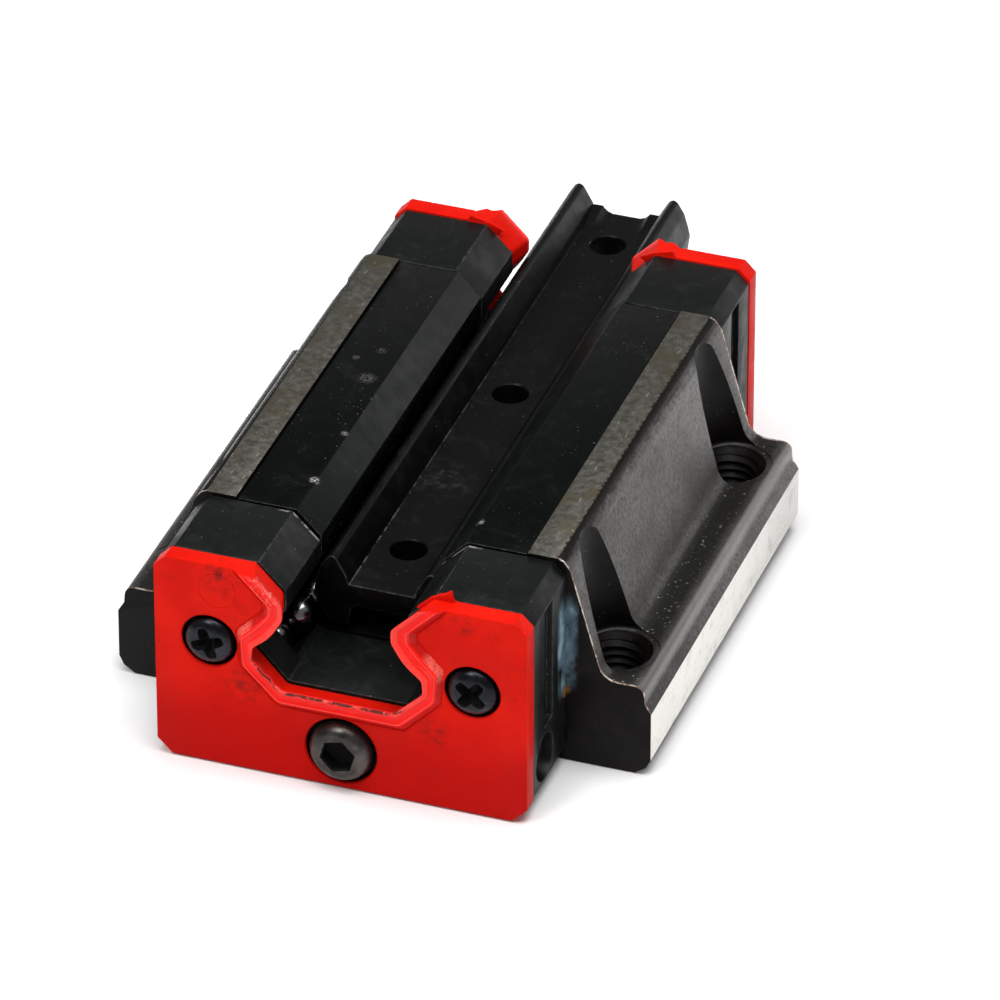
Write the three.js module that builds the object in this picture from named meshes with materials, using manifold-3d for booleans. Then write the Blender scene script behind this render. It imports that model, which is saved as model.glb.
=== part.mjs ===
// Flanged ball-rail carriage, size 15, lying on its mounting face with its rail channel open upwards.
//
// Frame, in millimetres: the origin is the centre of the mounting face, +X runs across the flanges,
// +Y along the travel and +Z away from the mounting face, towards the rail side.
// "Front" is -Y and "left" is -X. "Upper" ball rows are the ones nearest the mounting face, as they are
// when the carriage works on a rail, and "lower" rows are the ones nearest the rail's foot.

import * as THREE from "three";
import { mergeVertices } from "three/addons/utils/BufferGeometryUtils.js";
import Module from "manifold-3d";

const wasm = await Module();
wasm.setup();

// ---------------------------------------------------------------- driving dimensions

const carriageWidth = 47;
const bodyHeight = 19.7;
const blockLength = 39.6;
const flangeThickness = 8.55;
const boltSpacingX = 38;
const boltSpacingY = 30;

const capWidth = 32.3;
const capLength = 8.1;
const capTop = 19.45;
const sealThickness = 1.7;
const lipStand = 0.85;

const railHeadHalf = 7.4;
const railTop = 8.95;
const railTopHalf = 4.85;
const railNeckHalf = 4.7;
const railNeckLow = 17.1;
const railNeckHigh = 15.9;

const ballRadius = 1.5875;
const ballsPerCircuit = 30;
const upperRow = { x: 7.35, z: 9.35 };
const lowerRow = { x: 7.35, z: 15 };
const upperReturn = { x: 12, z: 5.4 };
const lowerReturn = { x: 13.05, z: 15.35 };

const sealScrew = { x: 11.45, z: 12, headRadius: 2.15, headHeight: 1.5, shankRadius: 0.95, length: 13 };
const plugScrew = { x: 0, z: 3.65, headRadius: 2.75, headHeight: 1.9, shankRadius: 1.2, length: 6.5 };

const dummyRailLength = 63;
const dummyRailFront = -19.9;
const dummyRailHolePitch = 25.6;

// ---------------------------------------------------------------- worked out from them

const jointGap = 0.12;
const blockEnd = blockLength / 2;
const capInner = blockEnd + jointGap;
const capOuter = capInner + capLength;
const sealInner = capOuter + jointGap;
const sealFace = sealInner + sealThickness;
const flangeHalf = carriageWidth / 2;
const capHalf = capWidth / 2;

const grooveRadius = ballRadius + 0.16;
const returnHoleRadius = ballRadius + 0.51;
const tubeOuterRadius = ballRadius + 0.33;
const tubeInnerRadius = ballRadius + 0.13;
const pocketHalf = ballRadius + 0.26;
const channelCeiling = upperRow.z - grooveRadius;
const stripInner = 12.75;
const webTop = 15.35;
const sealSeatZ = bodyHeight - 1.55;
const screwSeat = sealInner + 0.6;
const screwClearance = 0.25;
const slotWall = { x: railNeckHalf + 0.6, end: 15.2 };
const roundSides = 20;

// ---------------------------------------------------------------- small tools

// A rounded stretch of an outline: points on a circle from one angle to another, in degrees.
function arc(centreX, centreZ, radius, from, to, steps) {
  const points = [];
  for (let i = 0; i <= steps; i += 1) {
    const angle = THREE.MathUtils.degToRad(from + ((to - from) * i) / steps);
    points.push([centreX + radius * Math.cos(angle), centreZ + radius * Math.sin(angle)]);
  }
  return points;
}

// The right half of a symmetric outline, closed by its mirror image.
function mirrored(half) {
  const left = half.map(([x, z]) => [-x, z]).reverse();
  return [...half, ...left];
}

// An outline drawn for the right side, or its mirror image for the left side.
function onSide(side, points) {
  return side > 0 ? points : points.map(([x, z]) => [-x, z]).reverse();
}

function shapeOf(points) {
  return new THREE.Shape(points.map(([x, y]) => new THREE.Vector2(x, y)));
}

// An outline in X and Z, drawn out along Y.
function alongY(points, yFrom, yTo) {
  const geometry = new THREE.ExtrudeGeometry(shapeOf(points), { depth: yTo - yFrom, bevelEnabled: false });
  return geometry.rotateX(Math.PI / 2).translate(0, yTo, 0);
}

// A round bar along Y, centred on x and z.
function barAlongY(radius, x, z, yFrom, yTo, sides = roundSides) {
  const geometry = new THREE.CylinderGeometry(radius, radius, yTo - yFrom, sides);
  return geometry.translate(0, (yFrom + yTo) / 2, 0).translate(x, 0, z);
}

// A round bar along Z.
function barAlongZ(radius, x, y, zFrom, zTo, sides = roundSides) {
  const geometry = new THREE.CylinderGeometry(radius, radius, zTo - zFrom, sides);
  return geometry.rotateX(Math.PI / 2).translate(x, y, (zFrom + zTo) / 2);
}

function box(xFrom, xTo, yFrom, yTo, zFrom, zTo) {
  const geometry = new THREE.BoxGeometry(xTo - xFrom, yTo - yFrom, zTo - zFrom);
  return geometry.translate((xFrom + xTo) / 2, (yFrom + yTo) / 2, (zFrom + zTo) / 2);
}

function solid(geometry) {
  const plain = geometry.clone();
  plain.deleteAttribute("normal");
  plain.deleteAttribute("uv");
  const welded = mergeVertices(plain, 1e-5);
  const vertProperties = new Float32Array(welded.attributes.position.array);
  const triVerts = new Uint32Array(welded.index.array);
  return new wasm.Manifold(new wasm.Mesh({ numProp: 3, vertProperties, triVerts }));
}

function joined(...geometries) {
  return geometries.map(solid).reduce((sum, piece) => sum.add(piece));
}

function cut(body, ...geometries) {
  return geometries.map(solid).reduce((rest, piece) => rest.subtract(piece), body);
}

function geometryOf(body) {
  const mesh = body.getMesh();
  const geometry = new THREE.BufferGeometry();
  geometry.setAttribute("position", new THREE.BufferAttribute(new Float32Array(mesh.vertProperties), 3));
  geometry.setIndex(new THREE.BufferAttribute(new Uint32Array(mesh.triVerts), 1));
  geometry.computeVertexNormals();
  return geometry;
}

// ---------------------------------------------------------------- materials

function finish(color, roughness, metalness) {
  return () => new THREE.MeshStandardMaterial({ color, roughness, metalness });
}

const blackenedSteel = finish(0x2e2d2b, 0.5, 0.8);
const redPolymer = finish(0xd8190f, 0.45, 0);
const blackPolymer = finish(0x161718, 0.4, 0);
const dullPolymer = finish(0x1f2022, 0.6, 0);
const blackScrewSteel = finish(0x1a1c1f, 0.35, 0.8);
const bearingSteel = finish(0xc9ccd0, 0.12, 1);

// ---------------------------------------------------------------- the steel block

// Right half of the block's section, from the mounting face round the outside to the channel's ceiling.
function blockHalfOutline() {
  const webLean = 15.9;
  const webCorner = { x: 16.4, z: 18.7 };
  const filletRadius = 1.7;
  const fillet = { x: 20.57, z: flangeThickness + filletRadius };
  const cornerRadius = 0.8;
  const lipFaceX = 7.9;
  const legFaceX = 8.8;
  const lipAngle = THREE.MathUtils.radToDeg(Math.acos((lipFaceX - lowerRow.x) / grooveRadius));
  const legAngle = THREE.MathUtils.radToDeg(Math.acos((legFaceX - lowerRow.x) / grooveRadius));
  return [
    [flangeHalf - 1.4, 0],
    [flangeHalf - 0.4, 0.7],
    [flangeHalf, 1.5],
    [flangeHalf, 6.05],
    [flangeHalf - 0.55, 6.9],
    ...arc(flangeHalf - 0.7 - cornerRadius, flangeThickness - cornerRadius, cornerRadius, 0, 90, 3),
    ...arc(fillet.x, fillet.z, filletRadius, -90, -180 + webLean, 4),
    [webCorner.x, webCorner.z],
    [webTop + 0.5, bodyHeight - 0.25],
    [webTop, bodyHeight],
    [stripInner, bodyHeight],
    [stripInner, sealSeatZ],
    [lipFaceX, sealSeatZ],
    ...arc(lowerRow.x, lowerRow.z, grooveRadius, lipAngle, -legAngle, 6),
    ...arc(upperRow.x, upperRow.z, grooveRadius, legAngle, -90, 7),
  ];
}

// A tapped hole of the flange, with the round pocket that its screw head needs beside the web.
function boltCuts(side, end) {
  const threadRadius = 2.25;
  const pocketRadius = 3.45;
  const pocketFloor = flangeThickness - 0.2;
  const x = (side * boltSpacingX) / 2;
  const y = (end * boltSpacingY) / 2;
  return [
    barAlongZ(threadRadius, x, y, -1, bodyHeight + 1),
    barAlongZ(pocketRadius, x + side * 0.2, y, pocketFloor, bodyHeight + 1, 24),
  ];
}

function block() {
  const screwHoleRadius = sealScrew.shankRadius + screwClearance;
  const screwHoleDepth = 6;
  const cuts = [];
  for (const side of [-1, 1]) {
    for (const back of [upperReturn, lowerReturn]) {
      cuts.push(barAlongY(returnHoleRadius, side * back.x, back.z, -blockEnd - 1, blockEnd + 1));
    }
    for (const end of [-1, 1]) {
      const middle = end * (blockEnd - screwHoleDepth / 2 + 0.5);
      const half = (screwHoleDepth + 1) / 2;
      cuts.push(barAlongY(screwHoleRadius, side * sealScrew.x, sealScrew.z, middle - half, middle + half, 12));
      cuts.push(...boltCuts(side, end));
    }
  }
  const bar = joined(alongY(mirrored(blockHalfOutline()), -blockEnd, blockEnd));
  return geometryOf(cut(bar, ...cuts));
}

// ---------------------------------------------------------------- rail clearance

// Right half of the notch that a rail passes through, grown outwards by a clearance.
// It runs from the open top down the neck's upright wall, which stops at `neckEnd`, and on round the
// rail's head to the rail's top face.
function railNotchHalf(clearance, mouthZ, neckEnd = railNeckHigh) {
  const shoulder = { x: 5.95, z: 13.95 };
  const headLow = 12.6;
  const headHigh = railTop + (railHeadHalf - railTopHalf);
  const neckX = railNeckHalf + clearance;
  return [
    [neckX + (mouthZ - railNeckLow), mouthZ],
    [neckX, railNeckLow],
    [neckX, neckEnd],
    [shoulder.x + clearance, shoulder.z],
    [railHeadHalf + clearance, headLow],
    [railHeadHalf + clearance, headHigh],
    [railTopHalf + clearance * 0.6, railTop - clearance],
  ];
}

// ---------------------------------------------------------------- end caps

// A long slot with round ends from a raceway to its return hole, seen along Y.
function pocketOutline(row, back, side) {
  const start = new THREE.Vector2(side * row.x, row.z);
  const finishPoint = new THREE.Vector2(side * back.x, back.z);
  const heading = THREE.MathUtils.radToDeg(finishPoint.clone().sub(start).angle());
  return [
    ...arc(finishPoint.x, finishPoint.y, pocketHalf, heading - 90, heading + 90, 6),
    ...arc(start.x, start.y, pocketHalf, heading + 90, heading + 270, 6),
  ];
}

function turnRadius(row, back) {
  return Math.hypot(back.x - row.x, back.z - row.z) / 2;
}

// The front cap; the rear one is the same part turned about Z.
function endCap() {
  const chamfer = 1.15;
  const bottom = 0.35;
  const outline = mirrored([
    [capHalf - chamfer + 0.15, bottom],
    [capHalf, bottom + chamfer],
    [capHalf, capTop - chamfer],
    [capHalf - chamfer, capTop],
    ...railNotchHalf(slotWall.x - railNeckHalf, capTop, slotWall.end),
  ]);
  const cuts = [];
  for (const side of [-1, 1]) {
    for (const [row, back] of [[upperRow, upperReturn], [lowerRow, lowerReturn]]) {
      const depth = turnRadius(row, back) + pocketHalf;
      cuts.push(alongY(pocketOutline(row, back, side), -capInner - depth, -capInner + 1));
    }
    const screwHole = sealScrew.shankRadius + screwClearance;
    cuts.push(barAlongY(screwHole, side * sealScrew.x, sealScrew.z, -capOuter - 1, -capInner + 1, 12));
    cuts.push(...sideRecesses(side));
  }
  const portRadius = plugScrew.shankRadius + 0.3;
  cuts.push(barAlongY(portRadius, plugScrew.x, plugScrew.z, -capOuter - 1, -capInner - 1.6, 14));
  return geometryOf(cut(joined(alongY(outline, -capOuter, -capInner)), ...cuts));
}

// A shallow upright recess in the cap's side, and the blind seat of a side grease port below it.
function sideRecesses(side) {
  const recessDepth = 0.55;
  const portDepth = 1.1;
  const middleY = -capInner - 4.4;
  const outside = side * (capHalf + 1);
  const recessFloor = side * (capHalf - recessDepth);
  const portRadius = 2.1;
  const port = new THREE.CylinderGeometry(portRadius, portRadius, 1 + portDepth, 18);
  port.rotateZ(Math.PI / 2).translate(side * (capHalf + (1 - portDepth) / 2), middleY - 0.9, 3.75);
  const low = Math.min(outside, recessFloor);
  const high = Math.max(outside, recessFloor);
  return [box(low, high, middleY - 1, middleY + 1, 6.7, capTop - 1.4), port];
}

// ---------------------------------------------------------------- end seals

// Outer edge of the raised lip band, right half: one point for each point of the rail notch.
function lipOuterHalf(top) {
  return [[9.3, top], [6.65, 16.5], [6.65, 16.1], [7.9, 14.85], [9, 13.6], [8.65, 10.2], [5.5, 7]];
}

// The band between the lip's outer edge and the rail's own outline. A share of 0 is the whole band,
// and a larger share keeps only the part nearest the rail.
function lipBand(share, top) {
  const inner = railNotchHalf(0, top);
  const outer = lipOuterHalf(top).map(([x, z], i) => [
    x + (inner[i][0] - x) * share,
    z + (inner[i][1] - z) * share,
  ]);
  const outerLeft = outer.map(([x, z]) => [-x, z]).reverse();
  const innerLeft = inner.map(([x, z]) => [-x, z]);
  return [...outer, ...outerLeft, ...innerLeft, ...inner.reverse()];
}

// The front seal; the rear one is the same part turned about Z.
function endSeal() {
  const top = 19.5;
  const bottom = 0.2;
  const half = capHalf + 0.05;
  const chamfer = 1.2;
  const lipRoot = 0.6;
  const ridgeShare = 0.45;
  const plate = mirrored([
    [half - chamfer, bottom],
    [half, bottom + chamfer],
    [half, top - chamfer],
    [half - chamfer, top],
    ...railNotchHalf(0.45, top),
  ]);
  const body = joined(
    alongY(plate, -sealFace, -sealInner),
    alongY(lipBand(0, top), -sealFace - lipStand * 0.6, -sealFace + lipRoot),
    alongY(lipBand(ridgeShare, top), -sealFace - lipStand, -sealFace + lipRoot),
  );
  const screws = [
    { ...sealScrew, x: -sealScrew.x },
    sealScrew,
    plugScrew,
  ];
  const cuts = [];
  for (const screw of screws) {
    const rim = screw.headRadius + 0.45;
    const hole = screw.shankRadius + 0.3;
    cuts.push(barAlongY(rim, screw.x, screw.z, -sealFace - 2, -screwSeat));
    cuts.push(barAlongY(hole, screw.x, screw.z, -screwSeat - 0.5, -sealInner + 1, 12));
  }
  return geometryOf(cut(body, ...cuts));
}

// ---------------------------------------------------------------- fasteners

// A screw along -Y with its head outermost, turned from one profile.
function screwBody(screw) {
  const headSeat = screwSeat + 0.1;
  const rounding = 0.35;
  const headTop = headSeat + screw.headHeight;
  const profile = [
    [0, headSeat - screw.length],
    [screw.shankRadius * 0.6, headSeat - screw.length],
    [screw.shankRadius, headSeat - screw.length + 0.5],
    [screw.shankRadius, headSeat],
    [screw.headRadius, headSeat],
    [screw.headRadius, headTop - rounding],
    [screw.headRadius - rounding, headTop],
    [0, headTop],
  ];
  const turned = new THREE.LatheGeometry(profile.map(([r, y]) => new THREE.Vector2(r, y)), roundSides);
  return { turned, headTop };
}

// Turns a piece made along +Y to face -Y, and puts it at a screw's place.
function faceFront(geometry, x, z) {
  return geometry.rotateZ(Math.PI).translate(x, 0, z);
}

function sealScrewGeometry(x) {
  const { turned, headTop } = screwBody(sealScrew);
  const slotDepth = 0.9;
  const slotHalf = 0.3;
  const slotReach = 1.25;
  const bladeA = box(-slotReach, slotReach, headTop - slotDepth, headTop + 1, -slotHalf, slotHalf);
  const bladeB = box(-slotHalf, slotHalf, headTop - slotDepth, headTop + 1, -slotReach, slotReach);
  const twist = THREE.MathUtils.degToRad(28);
  const body = cut(joined(turned), bladeA.rotateY(twist), bladeB.rotateY(twist));
  return faceFront(geometryOf(body), x, sealScrew.z);
}

function plugScrewGeometry() {
  const { turned, headTop } = screwBody(plugScrew);
  const socketRadius = 1.5;
  const socketDepth = 1.3;
  const socket = new THREE.CylinderGeometry(socketRadius, socketRadius, socketDepth + 1, 6);
  socket.translate(0, headTop - socketDepth / 2 + 0.5, 0);
  return faceFront(geometryOf(cut(joined(turned), socket)), plugScrew.x, plugScrew.z);
}

// ---------------------------------------------------------------- seals and retainers in the channel

function bottomSeal(side) {
  const half = blockEnd - jointGap;
  const top = bodyHeight - 0.2;
  const seat = sealSeatZ + 0.15;
  const innerFaceX = 7.45;
  const underside = 16.95;
  const wallThickness = 0.32;
  const outline = [
    [stripInner - jointGap, seat],
    [stripInner - jointGap, top],
    [innerFaceX, top],
    [slotWall.x, top - (innerFaceX - slotWall.x)],
    [slotWall.x, slotWall.end],
    [slotWall.x + wallThickness, slotWall.end],
    [slotWall.x + wallThickness, underside],
    [innerFaceX + 0.15, underside],
    [innerFaceX + 0.15, seat],
  ];
  return alongY(onSide(side, outline), -half, half);
}

function upperRetainer() {
  const half = blockEnd - jointGap;
  const outline = mirrored([
    [5, channelCeiling + 0.25],
    [5.6, channelCeiling + 0.6],
    [5.45, channelCeiling + 0.95],
  ]);
  return alongY(outline, -half, half);
}

function sideRetainer(side) {
  const half = blockEnd - jointGap;
  const faceX = 7.85;
  const backX = 8.6;
  const outline = [[backX, 11.35], [backX, 13], [faceX, 12.85], [faceX, 11.5]];
  return alongY(onSide(side, outline), -half, half);
}

// ---------------------------------------------------------------- ball recirculation

function returnTube(side, back) {
  const half = blockEnd - jointGap;
  const tube = joined(barAlongY(tubeOuterRadius, side * back.x, back.z, -half, half, 16));
  return geometryOf(cut(tube, barAlongY(tubeInnerRadius, side * back.x, back.z, -half - 1, half + 1, 16)));
}

// The half-round guide that turns the balls from the raceway into the return tube, at the front end.
function returnGuide(side, row, back) {
  const radius = turnRadius(row, back) - ballRadius - 0.3;
  const thickness = 3.2;
  const flat = -capInner - 0.05;
  const heading = Math.atan2(back.z - row.z, side * (back.x - row.x));
  const outline = arc(0, 0, radius, 180, 360, 8);
  const geometry = new THREE.ExtrudeGeometry(shapeOf(outline), { depth: thickness, bevelEnabled: false });
  geometry.translate(0, 0, -thickness / 2).rotateY(-heading);
  return geometry.translate((side * (row.x + back.x)) / 2, flat, (row.z + back.z) / 2);
}

// Centre of a ball, `distance` round its circuit from the raceway's front end.
function circuitPoint(row, back, distance) {
  const radius = turnRadius(row, back);
  const turn = Math.PI * radius;
  const middle = new THREE.Vector2((row.x + back.x) / 2, (row.z + back.z) / 2);
  const across = new THREE.Vector2(back.x - row.x, back.z - row.z).normalize();
  let along = distance;
  let offset = -radius;
  let y = -blockEnd + along;
  if (along > blockLength) {
    along -= blockLength;
    const angle = Math.min(along / radius, Math.PI);
    offset = -radius * Math.cos(angle);
    y = blockEnd + radius * Math.sin(angle);
  }
  if (along > turn && distance > blockLength) {
    along -= turn;
    offset = radius;
    y = blockEnd - along;
  }
  if (distance > blockLength * 2 + turn) {
    const angle = (distance - blockLength * 2 - turn) / radius;
    offset = radius * Math.cos(angle);
    y = -blockEnd - radius * Math.sin(angle);
  }
  const place = middle.addScaledVector(across, offset);
  return new THREE.Vector3(place.x, y, place.y);
}

// One endless row of balls. A thin link joins each ball to the next, so that the row is one body.
function ballCircuit(side, row, back) {
  const linkRadius = 0.3;
  const total = blockLength * 2 + Math.PI * turnRadius(row, back) * 2;
  const centres = [];
  for (let i = 0; i < ballsPerCircuit; i += 1) {
    const centre = circuitPoint(row, back, (total * i) / ballsPerCircuit);
    centre.x *= side;
    centres.push(centre);
  }
  const pieces = [];
  centres.forEach((centre, i) => {
    const next = centres[(i + 1) % ballsPerCircuit];
    const ball = new THREE.SphereGeometry(ballRadius, 6, 4).rotateX(Math.PI / 2);
    pieces.push(ball.translate(centre.x, centre.y, centre.z));
    const direction = next.clone().sub(centre);
    const link = new THREE.CylinderGeometry(linkRadius, linkRadius, direction.length(), 4);
    const turn = new THREE.Quaternion().setFromUnitVectors(new THREE.Vector3(0, 1, 0), direction.normalize());
    const middle = centre.clone().add(next).multiplyScalar(0.5);
    pieces.push(link.applyQuaternion(turn).translate(middle.x, middle.y, middle.z));
  });
  return geometryOf(joined(...pieces));
}

// ---------------------------------------------------------------- shipping rail

// The channel-shaped plastic rail that keeps the balls in while the carriage is off its real rail.
function dummyRail() {
  const footZ = 9.2;
  const floor = { x: 2.9, z: 13.2 };
  const peak = { x: 4.4, z: 15.7 };
  const webUnder = 11.2;
  const outline = mirrored([
    [3, footZ],
    [4.4, footZ],
    [5.7, 10.9],
    [5.9, 12.4],
    [5.7, 13.3],
    [5.35, 14.5],
    [peak.x + 0.4, peak.z - 0.3],
    [peak.x, peak.z],
    [peak.x - 0.4, peak.z - 0.2],
    [floor.x + 0.2, floor.z + 0.9],
    [floor.x, floor.z],
  ]);
  const hollow = mirrored([[2.3, footZ - 1], [3, footZ], [2.7, webUnder - 0.3], [2.4, webUnder]]);
  const end = dummyRailFront + dummyRailLength;
  const holeRadius = 1.55;
  const firstHole = 6.6;
  const cuts = [alongY(hollow, dummyRailFront - 1, end + 1)];
  for (let i = 0; i < 3; i += 1) {
    cuts.push(barAlongZ(holeRadius, 0, dummyRailFront + firstHole + i * dummyRailHolePitch, webUnder - 1, peak.z));
  }
  const steps = [-1, 1].map((side) => rearStep(side, floor, end));
  return geometryOf(cut(joined(alongY(outline, dummyRailFront, end), ...steps), ...cuts));
}

// The small raised step in the corner between floor and wall, at the rail's rear end.
function rearStep(side, floor, end) {
  const length = 1.3;
  const height = 0.6;
  const outline = [
    [floor.x - 1.1, floor.z - 0.2],
    [floor.x + 0.3, floor.z - 0.2],
    [floor.x + 0.3, floor.z + height],
    [floor.x - 0.7, floor.z + height],
    [floor.x - 1.1, floor.z + 0.1],
  ];
  return alongY(onSide(side, outline), end - length, end);
}

// ---------------------------------------------------------------- assembly

const carriage = new THREE.Group();
carriage.name = "carriage";

function place(name, geometry, material, turned = false) {
  const mesh = new THREE.Mesh(geometry, material());
  mesh.name = name;
  mesh.rotation.z = turned ? Math.PI : 0;
  carriage.add(mesh);
}

const sides = [["left", -1], ["right", 1]];
const ends = [["front", false], ["rear", true]];
const rows = [["upper", upperRow, upperReturn], ["lower", lowerRow, lowerReturn]];

place("block", block(), blackenedSteel);
place("ball_retainer_upper", upperRetainer(), dullPolymer);
place("dummy_rail", dummyRail(), dullPolymer);

for (const [sideName, side] of sides) {
  place(`bottom_seal_${sideName}`, bottomSeal(side), blackPolymer);
  place(`ball_retainer_${sideName}`, sideRetainer(side), dullPolymer);
  for (const [rowName, row, back] of rows) {
    place(`return_tube_${sideName}_${rowName}`, returnTube(side, back), dullPolymer);
    place(`ball_circuit_${sideName}_${rowName}`, ballCircuit(side, row, back), bearingSteel);
  }
}

for (const [endName, turned] of ends) {
  place(`end_cap_${endName}`, endCap(), blackPolymer, turned);
  place(`end_seal_${endName}`, endSeal(), redPolymer, turned);
  place(`plug_screw_${endName}`, plugScrewGeometry(), blackScrewSteel, turned);
  for (const [sideName, side] of sides) {
    // A turned part swaps sides, so the piece made on one side lands on the other.
    const madeOn = turned ? -side : side;
    place(`seal_screw_${endName}_${sideName}`, sealScrewGeometry(madeOn * sealScrew.x), blackScrewSteel, turned);
    for (const [rowName, row, back] of rows) {
      place(`return_guide_${endName}_${sideName}_${rowName}`, returnGuide(madeOn, row, back), dullPolymer, turned);
    }
  }
}

export default carriage;
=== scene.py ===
"""A flanged ball-rail carriage lying on its mounting face, with its black shipping rail in the channel.

The CAD frame gives every place. This script makes the fine meshes and the materials around it.
Outlines and sizes here are in millimetres, and become metres when a mesh is made.
"""

import math

import bmesh
import bpy
from mathutils import Matrix, Vector


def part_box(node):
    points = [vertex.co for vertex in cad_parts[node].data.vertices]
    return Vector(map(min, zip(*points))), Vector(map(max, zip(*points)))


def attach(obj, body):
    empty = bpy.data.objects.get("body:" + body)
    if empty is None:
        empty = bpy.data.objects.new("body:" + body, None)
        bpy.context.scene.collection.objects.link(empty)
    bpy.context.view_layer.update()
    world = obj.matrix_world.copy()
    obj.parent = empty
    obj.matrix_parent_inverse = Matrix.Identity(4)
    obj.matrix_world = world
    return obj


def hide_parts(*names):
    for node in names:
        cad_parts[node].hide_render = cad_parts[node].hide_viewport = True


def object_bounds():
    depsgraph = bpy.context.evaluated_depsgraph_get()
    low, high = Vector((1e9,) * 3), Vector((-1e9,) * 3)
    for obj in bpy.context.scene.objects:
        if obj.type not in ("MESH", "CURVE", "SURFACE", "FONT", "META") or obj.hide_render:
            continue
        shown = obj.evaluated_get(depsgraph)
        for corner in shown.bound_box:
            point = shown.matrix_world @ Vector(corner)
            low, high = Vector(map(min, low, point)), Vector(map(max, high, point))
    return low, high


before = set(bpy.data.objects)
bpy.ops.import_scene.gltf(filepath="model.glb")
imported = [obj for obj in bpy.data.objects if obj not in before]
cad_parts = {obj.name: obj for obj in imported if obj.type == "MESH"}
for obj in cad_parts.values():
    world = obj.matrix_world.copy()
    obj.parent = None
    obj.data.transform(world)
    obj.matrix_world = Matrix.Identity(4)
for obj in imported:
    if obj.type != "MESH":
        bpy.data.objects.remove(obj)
CAD_BOX = [list(corner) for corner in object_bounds()]
MM = 0.001
SIDES = {"left": -1, "right": 1}
ENDS = {"front": -1, "rear": 1}


def box_mm(node):
    low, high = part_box(node)
    return low / MM, high / MM


# ------------------------------------------------------------------ sizes, from the frame

BLOCK_HIGH = box_mm("block")[1]
CAP_LOW, CAP_HIGH = box_mm("end_cap_rear")
SEAL_LOW, SEAL_HIGH = box_mm("end_seal_rear")
RAIL_LOW, RAIL_HIGH = box_mm("dummy_rail")
STRIP_LOW, STRIP_HIGH = box_mm("bottom_seal_right")

# Half sizes and heights. Left and right are alike, and so are front and rear.
BLOCK_END = BLOCK_HIGH.y
BODY_TOP = BLOCK_HIGH.z
FLANGE_HALF = BLOCK_HIGH.x
FLANGE_TOP = 8.55
STRIP_SEAT = BODY_TOP - 1.55
GROUND_IN = STRIP_HIGH.x + 0.12
GROUND_OUT = 15.35
LIP_STAND = 0.85
SEAL_FACE = SEAL_HIGH.y - LIP_STAND
SEAL_BACK = SEAL_LOW.y
SEAL_TOP = 19.5
SEAT = -SEAL_BACK - 0.6
SLOT_WALL = {"x": 5.3, "end": 15.2}
POCKET_DEPTH = 0.08
POCKET_RADIUS = 3.45
POCKET_SHIFT = 0.2

# Half width of the shipping rail's floor, and its height.
RAIL_FLOOR = Vector((2.9, 13.2))

# How high the moulding flaps stand on each seal's top edge.
SPURS = {"front": {"right": 1.0}, "rear": {"left": 0.55, "right": 0.45}}

# Each ball row and the return beside it are given by their places in X and Z.
BALL_RADIUS = 1.5875
BALLS = 30
UPPER_ROW, UPPER_RETURN = Vector((7.35, 9.35)), Vector((12, 5.4))
LOWER_ROW, LOWER_RETURN = Vector((7.35, 15)), Vector((13.05, 15.35))
TRACKS = {"upper": (UPPER_ROW, UPPER_RETURN), "lower": (LOWER_ROW, LOWER_RETURN)}
GROOVE = BALL_RADIUS + 0.16
TURN_POCKET = BALL_RADIUS + 0.26
TUBE_BORE = BALL_RADIUS + 0.13
TUBE_OUTSIDE = BALL_RADIUS + 0.33
RETURN_HOLE = BALL_RADIUS + 0.51

BOLTS = [(x, y) for x in (-19, 19) for y in (-15, 15)]
SCREW_HOLE = 1.2
SEAL_SCREW = {"x": 11.45, "z": 12.0, "rim": 2.42, "head": 2.15, "height": 1.5, "shank": 0.95, "length": 13}
PLUG_SCREW = {"x": 0.0, "z": 3.65, "rim": 3.1, "head": 2.75, "height": 1.9, "shank": 1.2, "length": 6.5}

# Faces that meet at less than this angle, in degrees, are shaded as one smooth surface.
SMOOTH_BELOW = 32


# ------------------------------------------------------------------ outlines

def arc(centre, radius, start, stop, steps):
    """Points on a circle between two angles in degrees."""
    angles = [math.radians(start + (stop - start) * i / steps) for i in range(steps + 1)]
    return [(centre[0] + radius * math.cos(a), centre[1] + radius * math.sin(a)) for a in angles]


def rounded(points, steps=5):
    """The closed outline with a round corner at each point that gives a radius after its x and z."""
    outline = []
    count = len(points)
    for i, point in enumerate(points):
        corner = Vector(point[:2])
        if len(point) == 2:
            outline.append(tuple(corner))
            continue
        before = Vector(points[i - 1][:2]) - corner
        after = Vector(points[(i + 1) % count][:2]) - corner
        half = before.angle(after) / 2
        reach = min(point[2] / math.tan(half), 0.48 * before.length, 0.48 * after.length)
        radius = reach * math.tan(half)
        centre = corner + (before.normalized() + after.normalized()).normalized() * (radius / math.sin(half))
        start = corner + before.normalized() * reach - centre
        turn = start.angle_signed(corner + after.normalized() * reach - centre)
        for k in range(steps + 1):
            arm = Matrix.Rotation(-turn * k / steps, 2) @ start
            outline.append(tuple(centre + arm))
    return outline


def mirrored(half):
    """A symmetric outline from its right half."""
    return list(half) + [(-p[0],) + tuple(p[1:]) for p in reversed(half)]


def mirrored_for(side, points):
    """Points given for the right side, as they are or mirrored to the left."""
    return points if side > 0 else [(-p[0],) + tuple(p[1:]) for p in reversed(points)]


# ------------------------------------------------------------------ meshes

def in_scene(name, data):
    """A scene object for a mesh, a lamp or a camera."""
    thing = bpy.data.objects.new(name, data)
    bpy.context.scene.collection.objects.link(thing)
    return thing


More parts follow.
